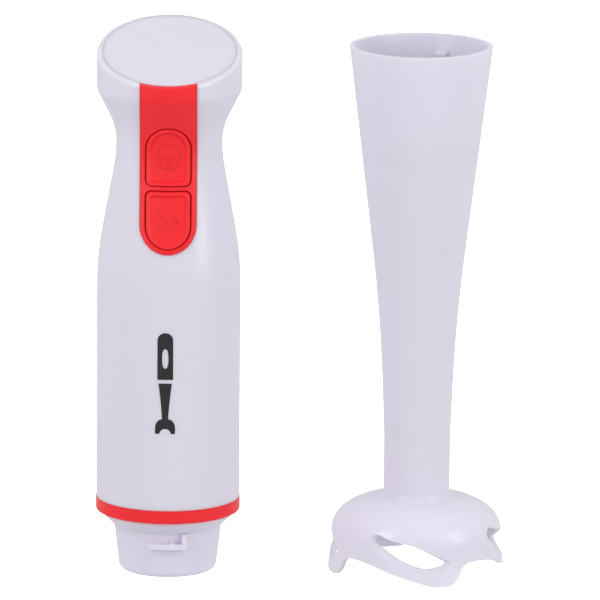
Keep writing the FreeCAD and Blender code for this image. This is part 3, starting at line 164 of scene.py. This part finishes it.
def metal(name, colour, rough, along=(1.0, 1.0, 1.0), lines=0.25 * MM, depth=0.004 * MM, stain=0.06):
    """Bare metal: tool marks drawn out along one direction, over slow changes of tone."""
    paint = Recipe(name)
    marks = paint.noise(lines, 3.0, 0.6, paint.stretched(*along))
    tone = paint.noise(7 * MM, 4.0, 0.6)
    paint.colour(paint.between(tone, tint(colour, 1.0 - stain), tint(colour, 1.0 + stain * 0.5)))
    paint.roughness(paint.remap(marks, rough - 0.07, rough + 0.09))
    paint.relief(marks, depth, 0.45)
    paint.set(Metallic=1.0)
    return paint.material


def rubber(name, colour, rough=0.62):
    """Moulded rubber: dull, with a dusty bloom and a fine pebble."""
    paint = Recipe(name)
    bloom = paint.noise(6 * MM, 5.0, 0.7)
    paint.colour(paint.between(bloom, tint(colour, 0.8), tint(colour, 1.5)))
    paint.roughness(paint.remap(bloom, rough - 0.06, rough + 0.1))
    paint.relief(paint.noise(0.35 * MM, 2.0), 0.015 * MM, 0.5)
    return paint.material


def board(name):
    """A circuit board: green resist over copper tracks that show as lighter lines, and pads."""
    paint = Recipe(name)
    tracks = paint.node("ShaderNodeTexBrick")
    tracks.inputs["Scale"].default_value = 1.0 / (9 * MM)
    tracks.inputs["Mortar Size"].default_value = 0.045
    tracks.inputs["Color1"].default_value = (0.010, 0.085, 0.022, 1.0)
    tracks.inputs["Color2"].default_value = (0.012, 0.100, 0.026, 1.0)
    tracks.inputs["Mortar"].default_value = (0.045, 0.230, 0.060, 1.0)
    turned = paint.node("ShaderNodeMapping")
    turned.inputs["Rotation"].default_value = (math.radians(90), 0, 0)
    paint.link(paint.place, turned.inputs["Vector"])
    paint.link(turned.outputs["Vector"], tracks.inputs["Vector"])
    paint.colour(tracks.outputs["Color"])
    paint.roughness(paint.remap(paint.noise(4 * MM), 0.28, 0.42))
    paint.relief(tracks.outputs["Fac"], 0.03 * MM, 0.5)
    return paint.material


def wound(name, colour):
    """Varnished winding wire: fine turns that run round the coil, uneven where they cross."""
    paint = Recipe(name)
    turns = paint.node("ShaderNodeTexWave", wave_type="RINGS", rings_direction="Z")
    turns.inputs["Scale"].default_value = 1.0 / (2.2 * MM)
    turns.inputs["Distortion"].default_value = 3.5
    turns.inputs["Detail"].default_value = 3.0
    paint.link(paint.stretched(1.0, 1.0, 2.0), turns.inputs["Vector"])
    wires = turns.outputs["Fac"]
    paint.colour(paint.between(wires, tint(colour, 0.35), tint(colour, 1.1)))
    paint.roughness(paint.remap(wires, 0.24, 0.4, 0.0, 1.0))
    paint.relief(wires, 0.25 * MM, 0.8)
    paint.set(Metallic=0.75, Coat_Weight=0.6, Coat_Roughness=0.15)
    return paint.material


def laminated(name, colour):
    """Stacked steel laminations: thin dark joints every half millimetre up the core."""
    paint = Recipe(name)
    sheets = paint.node("ShaderNodeTexWave", wave_type="BANDS", bands_direction="Z")
    sheets.inputs["Scale"].default_value = 1.0 / (4.0 * MM)
    sheets.inputs["Distortion"].default_value = 0.15
    paint.link(paint.place, sheets.inputs["Vector"])
    paint.colour(paint.between(sheets.outputs["Fac"], tint(colour, 0.45), colour))
    paint.roughness(paint.remap(paint.noise(3 * MM), 0.32, 0.48))
    paint.relief(sheets.outputs["Fac"], 0.08 * MM, 0.6)
    paint.set(Metallic=0.9)
    return paint.material


def ink(name, colour):
    """Pad-printed ink: dense, slightly matt, with the faintest pinholes at its thin places."""
    paint = Recipe(name)
    cover = paint.noise(0.5 * MM, 4.0, 0.7)
    paint.colour(paint.between(cover, colour, tint(colour, 2.2)))
    paint.roughness(paint.remap(cover, 0.36, 0.5))
    paint.relief(cover, 0.006 * MM, 0.4)
    return paint.material


WHITE = (0.748, 0.718, 0.842)
RED = (0.930, 0.022, 0.030)

finishes = {
    "white_plastic": moulding("white_plastic", WHITE, 0.3, mottle=0.004, coat=0.2, soft=0.5, sheen=0.4),
    "red_plastic": moulding("red_plastic", RED, 0.36, mottle=0.012, grain=0.35 * MM, soft=0.25, sheen=0.3),
    "gland_plastic": moulding("gland_plastic", tint(WHITE, 0.93), 0.42, mottle=0.02, depth=0.01 * MM),
    "black_plastic": moulding("black_plastic", (0.012, 0.012, 0.013), 0.4, mottle=0.15, depth=0.012 * MM),
    "grey_plastic": moulding("grey_plastic", (0.60, 0.60, 0.58), 0.38, mottle=0.04),
    "coupler_plastic": moulding("coupler_plastic", (0.030, 0.030, 0.033), 0.45, mottle=0.2, depth=0.02 * MM),
    "capacitor_plastic": moulding("capacitor_plastic", (0.62, 0.33, 0.012), 0.35, mottle=0.05),
    "circuit_board": board("circuit_board"),
    "ferrite": moulding("ferrite", (0.022, 0.022, 0.025), 0.58, mottle=0.3, grain=0.25 * MM, depth=0.03 * MM),
    "zinc_steel": metal("zinc_steel", (0.55, 0.56, 0.57), 0.36, along=(1.0, 1.0, 0.2)),
    "spring_steel": metal("spring_steel", (0.50, 0.50, 0.52), 0.28, along=(0.3, 1.0, 0.3)),
    "stainless_steel": metal("stainless_steel", (0.60, 0.60, 0.61), 0.18, along=(0.12, 1.0, 1.0)),
    "core_steel": laminated("core_steel", (0.30, 0.30, 0.32)),
    "sintered_bronze": metal("sintered_bronze", (0.42, 0.25, 0.11), 0.46, lines=0.2 * MM, depth=0.02 * MM),
    "brass": metal("brass", (0.66, 0.44, 0.15), 0.3, along=(0.2, 1.0, 1.0)),
    "copper_wire": wound("copper_wire", (0.55, 0.18, 0.055)),
    "copper_bars": metal("copper_bars", (0.62, 0.27, 0.13), 0.26, along=(1.0, 1.0, 6.0)),
    "carbon": moulding("carbon", (0.012, 0.012, 0.012), 0.66, mottle=0.3, grain=0.2 * MM, depth=0.02 * MM),
    "soft_rubber": rubber("soft_rubber", (0.016, 0.016, 0.017)),
    "lead_insulation": rubber("lead_insulation", (0.40, 0.014, 0.010), 0.45),
}
print_ink = ink("print_ink", (0.006, 0.006, 0.007))

for entry in frame["record"]["subparts"]:
    mesh = nodes[entry["node"]].data
    mesh.materials.clear()
    mesh.materials.append(finishes[entry["material_slot"]])


def soften(name, width, angle=35.0, segments=2):
    """Rounds a moulding's sharp edges a little, as its mould does, so that they catch the light."""
    bevel = nodes[name].modifiers.new("moulded_edges", "BEVEL")
    bevel.width = width
    bevel.segments = segments
    bevel.limit_method = "ANGLE"
    bevel.angle_limit = math.radians(angle)
    bevel.harden_normals = False
    bevel.use_clamp_overlap = True


# ---------------------------------------------------------------- marks moulded into the buttons


# Rays that look for a front surface start at this y, ahead of the whole object.
IN_FRONT = -0.2


def surface_of(name):
    """A node's own mesh, for finding points on it."""
    mesh = nodes[name].data
    corners = [vertex.co.copy() for vertex in mesh.vertices]
    return BVHTree.FromPolygons(corners, [list(polygon.vertices) for polygon in mesh.polygons])


def front_of(tree, x, z):
    """The first point of a surface seen from the front at (x, z)."""
    return tree.ray_cast(Vector((x, IN_FRONT, z)), Vector((0, 1, 0)))[0]


def finish_piece(name, corners, faces, material, body):
    """A smooth piece of its own, with its faces turned outwards, that moves with a body."""
    mesh = bpy.data.meshes.new(name)
    mesh.from_pydata(corners, [], faces)
    mesh.validate()
    made = bmesh.new()
    made.from_mesh(mesh)
    bmesh.ops.recalc_face_normals(made, faces=made.faces)
    made.to_mesh(mesh)
    made.free()
    for polygon in mesh.polygons:
        polygon.use_smooth = True
    piece = bpy.data.objects.new(name, mesh)
    bpy.context.scene.collection.objects.link(piece)
    mesh.materials.append(material)
    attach(piece, body)
    return piece


# Across a raised stroke: how far to the side and how high, as shares of half its width and of its height.
STROKE = [(-1.0, -0.4), (-0.86, 0.7), (-0.6, 1.0), (0.6, 1.0), (0.86, 0.7), (1.0, -0.4)]


def stroke(points, closed, width, height, tree):
    """Corners and faces of a raised line that follows (x, z) points over a curved face."""
    corners, faces = [], []
    count = len(points)
    for index, (x, z) in enumerate(points):
        before = points[index - 1] if closed or index else points[index]
        after = points[(index + 1) % count] if closed or index < count - 1 else points[index]
        along = Vector((after[0] - before[0], after[1] - before[1])).normalized()
        side = Vector((-along.y, along.x))
        for share, rise in STROKE:
            u = x + side.x * share * width / 2
            v = z + side.y * share * width / 2
            ground = front_of(tree, u, v)
            corners.append((u, ground.y - rise * height, v))
    row = len(STROKE)
    for index in range(count if closed else count - 1):
        this, following = index * row, ((index + 1) % count) * row
        for step in range(row - 1):
            faces.append((this + step, this + step + 1, following + step + 1, following + step))
    if not closed:
        faces.append(tuple(range(row)))
        faces.append(tuple(range((count - 1) * row, count * row)))
    return corners, faces


def straight(start, end, steps=10):
    """Points along a straight line from start to end."""
    return [
        (start[0] + (end[0] - start[0]) * k / steps, start[1] + (end[1] - start[1]) * k / steps)
        for k in range(steps + 1)
    ]


def raised_mark(name, strokes, width, height, node, body):
    """One piece made of several raised strokes on a button's face."""
    tree = surface_of(node)
    corners, faces = [], []
    for points, closed in strokes:
        more, loops = stroke(points, closed, width, height, tree)
        faces += [tuple(index + len(corners) for index in loop) for loop in loops]
        corners += more
    return finish_piece(name, corners, faces, finishes["red_plastic"], body)


def middle_of(node):
    low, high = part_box(node)
    return [(a + b) / 2 for a, b in zip(low, high)]


# A ring with a bar across it and a bar down from its middle, on the upper button.
RING_RADIUS = 4.4 * MM
BAR_GAP = 0.3 * MM
POWER_WIDTH, POWER_HEIGHT = 0.55 * MM, 0.3 * MM
power_x, _, power_z = middle_of("power_button")
mark_z = power_z - 0.1 * MM
angles = [math.radians(angle) for angle in range(0, 360, 6)]
ring = [(power_x + RING_RADIUS * math.cos(a), mark_z + RING_RADIUS * math.sin(a)) for a in angles]
reach = RING_RADIUS - BAR_GAP
power_strokes = [
    (ring, True),
    (straight((power_x - reach, mark_z), (power_x + reach, mark_z)), False),
    (straight((power_x, mark_z), (power_x, mark_z - reach)), False),
]
raised_mark("power_mark", power_strokes, POWER_WIDTH, POWER_HEIGHT, "power_button", "power_key")

# A generic pair of arrowheads for full speed, on the lower button.
ARROW_LENGTH, ARROW_RISE = 2.9 * MM, 2.8 * MM
TURBO_WIDTH, TURBO_HEIGHT = 0.6 * MM, 0.28 * MM
turbo_x, _, turbo_z = middle_of("turbo_button")
arrow_z = turbo_z - 0.6 * MM
arrow_strokes = []
for offset in (-3.4 * MM, 0.8 * MM):
    left = turbo_x + offset
    tip = (left + ARROW_LENGTH, arrow_z)
    for rise in (ARROW_RISE, -ARROW_RISE):
        arrow_strokes.append((straight((left, arrow_z + rise), tip), False))
raised_mark("turbo_mark", arrow_strokes, TURBO_WIDTH, TURBO_HEIGHT, "turbo_button", "turbo_key")

# ---------------------------------------------------------------- print on the handle

ring_low, ring_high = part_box("trim_ring")
grip_radius = (ring_high[0] - ring_low[0]) / 2
handle_x = (ring_low[0] + ring_high[0]) / 2
print_tree = surface_of("handle_shell")
PRINT_LIFT = 0.03 * MM
PRINT_MIDDLE = -0.7 * MM
PRINT_FOOT = 57.0 * MM
PRINT_TALL = 38.0 * MM


def on_shell(across, height):
    """A printed point: across is measured round the shell from the middle of its front."""
    x = handle_x + grip_radius * math.sin(across / grip_radius)
    ground = front_of(print_tree, x, height)
    return (x, ground.y - PRINT_LIFT, height)


def printed_rows(rows, columns=10):
    """Corners and faces of a printed area given as rows of (height, left edge, right edge)."""
    corners, faces = [], []
    for height, left, right in rows:
        corners += [on_shell(left + (right - left) * k / columns, height) for k in range(columns + 1)]
    width = columns + 1
    for row in range(len(rows) - 1):
        for k in range(columns):
            first = row * width + k
            faces.append((first, first + 1, first + width + 1, first + width))
    return corners, faces


def rows_between(low, high, left, right, steps=16):
    """Rows from low to high whose edges are functions of the share of the way up."""
    return [
        (low + (high - low) * k / steps, left(k / steps), right(k / steps)) for k in range(steps + 1)
    ]


def round_end(share, half):
    """Half the width of a round end, from 0 at its tip to half at its root."""
    return half * math.sqrt(max(0.0, 1.0 - (1.0 - share) ** 2))


def pictogram(middle, low):
    """A generic upright hand blender: a bell, a stem, and a round-headed grip with an oval."""
    areas = []
    bell, stem, grip = 3.7 * MM, 1.15 * MM, 2.9 * MM

    def both(low_z, high_z, half, steps=16):
        areas.append(
            rows_between(low_z, high_z, lambda t: middle - half(t), lambda t: middle + half(t), steps)
        )

    foot, shoulder = low, low + 5.6 * MM
    waist, collar = low + 19.0 * MM, low + 20.4 * MM
    top = low + PRINT_TALL
    # the bell: two feet with an arch between them, then a dome
    for side in (-1, 1):
        def inner(t, side=side):
            return middle + side * bell * 0.55 * math.sqrt(max(0.0, 1 - t * t))

        def outer(t, side=side):
            return middle + side * bell

        edges = (outer, inner) if side < 0 else (inner, outer)
        areas.append(rows_between(foot, foot + 1.9 * MM, *edges))
    both(foot + 1.9 * MM, shoulder, lambda t: stem + (bell - stem) * (1 - t**2.4) ** 0.6)
    both(shoulder, waist, lambda t: stem + (grip - stem) * 0.75 * t**1.3, 24)
    # the grip: a gap for the joint, then sides round a blank oval, then a round head
    both(collar, collar + 4.2 * MM, lambda t: grip)
    oval_low, oval_high = collar + 4.2 * MM, collar + 11.6 * MM
    for side in (-1, 1):
        def hole(t, side=side):
            return middle + side * 1.15 * MM * (1 - abs(2 * t - 1) ** 2.5) ** 0.4

        def edge(t, side=side):
            return middle + side * grip

        edges = (edge, hole) if side < 0 else (hole, edge)
        areas.append(rows_between(oval_low, oval_high, *edges, steps=24))
    both(oval_high, top - grip, lambda t: grip)
    both(top - grip, top, lambda t: round_end(1 - t, grip), 20)
    corners, faces = [], []
    for rows in areas:
        more, loops = printed_rows(rows)
        faces += [tuple(index + len(corners) for index in loop) for loop in loops]
        corners += more
    return finish_piece("handle_print", corners, faces, print_ink, "handle")


pictogram(PRINT_MIDDLE, PRINT_FOOT)

# ---------------------------------------------------------------- edges

soften("leg_housing", 0.6 * MM, 40.0, 3)
soften("coupling_housing", 0.25 * MM, 40.0, 2)
soften("handle_shell", 0.12 * MM, 40.0, 2)
soften("blade", 0.12 * MM, 30.0, 2)
soften("shaft_coupler", 0.25 * MM, 40.0, 2)

# ---------------------------------------------------------------- button springs as pieces of their own


def shortening(node):
    """A button's spring as a piece of its own, copied from its node, which moves with the handle."""
    piece = bpy.data.objects.new(node + "_coil", nodes[node].data.copy())
    piece.data.transform(nodes[node].matrix_world)
    bpy.context.scene.collection.objects.link(piece)
    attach(piece, "handle")
    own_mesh(piece)
    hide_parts(node)


shortening("power_spring")
shortening("turbo_spring")

# ---------------------------------------------------------------- stage, light and camera


def plane(name, size, z):
    half = size / 2
    mesh = bpy.data.meshes.new(name)
    corners = [(-half, -half, z), (half, -half, z), (half, half, z), (-half, half, z)]
    mesh.from_pydata(corners, [], [(0, 1, 2, 3)])
    made = bpy.data.objects.new(name, mesh)
    bpy.context.scene.collection.objects.link(made)
    return made


floor = plane("floor", 8.0, -0.0002)
floor_paint = Recipe("pale_floor")
floor_paint.colour(floor_paint.between(floor_paint.noise(0.3), (0.93, 0.93, 0.935), (0.95, 0.95, 0.95)))
floor_paint.set(Roughness=0.8, Specular_IOR_Level=0.1)
floor_paint.set(Emission_Color=(1.0, 1.0, 1.0, 1.0), Emission_Strength=0.9)
floor.data.materials.append(floor_paint.material)
# The floor glows like a light table, and doesn't throw that light back up at the object.
floor.visible_diffuse = False
floor.visible_glossy = False

world = bpy.data.worlds.new("studio")
world.use_nodes = True
surround = world.node_tree.nodes["Background"]
surround.inputs["Color"].default_value = (1.0, 1.0, 1.0, 1.0)
surround.inputs["Strength"].default_value = 0.69
bpy.context.scene.world = world

AIM = Vector((0, 0, 0.1))


def softbox(name, place, width, height, power):
    """A rectangular area light that faces the middle of the object."""
    light = bpy.data.lights.new(name, "AREA")
    light.shape = "RECTANGLE"
    light.size = width
    light.size_y = height
    light.energy = power
    lamp = bpy.data.objects.new(name, light)
    lamp.location = place
    lamp.rotation_euler = (AIM - Vector(place)).to_track_quat("-Z", "Y").to_euler()
    bpy.context.scene.collection.objects.link(lamp)


# Each light's name, place in metres, width, height, and power in watts.
softbox("key_left", (-0.9, -0.8, 0.75), 0.5, 1.0, 5.4)
softbox("fill_right", (1.1, -0.7, 0.5), 0.5, 1.0, 5.2)
softbox("top", (0.0, 0.1, 1.2), 1.0, 0.8, 1.1)

# The camera looks a little down on the front, with a long lens, so the two halves keep their proportions.
ELEVATION = math.radians(12.3)
ROLL = math.radians(0.456)
DISTANCE = 2.9
LENS = 469.8
FOCUS = Vector((-0.63 * MM, 0.0, 101.2 * MM))
camera_data = bpy.data.cameras.new("camera")
camera_data.sensor_width = 36.0
camera_data.lens = LENS
camera_data.clip_start = 0.05
camera_data.clip_end = 50.0
camera = bpy.data.objects.new("camera", camera_data)
back = Vector((0.0, -math.cos(ELEVATION), math.sin(ELEVATION)))
camera.matrix_world = (
    Matrix.Translation(FOCUS + back * DISTANCE)
    @ (-back).to_track_quat("-Z", "Y").to_matrix().to_4x4()
    @ Matrix.Rotation(ROLL, 4, "Z")
)
bpy.context.scene.collection.objects.link(camera)
bpy.context.scene.camera = camera
bpy.context.scene.view_settings.view_transform = "Standard"
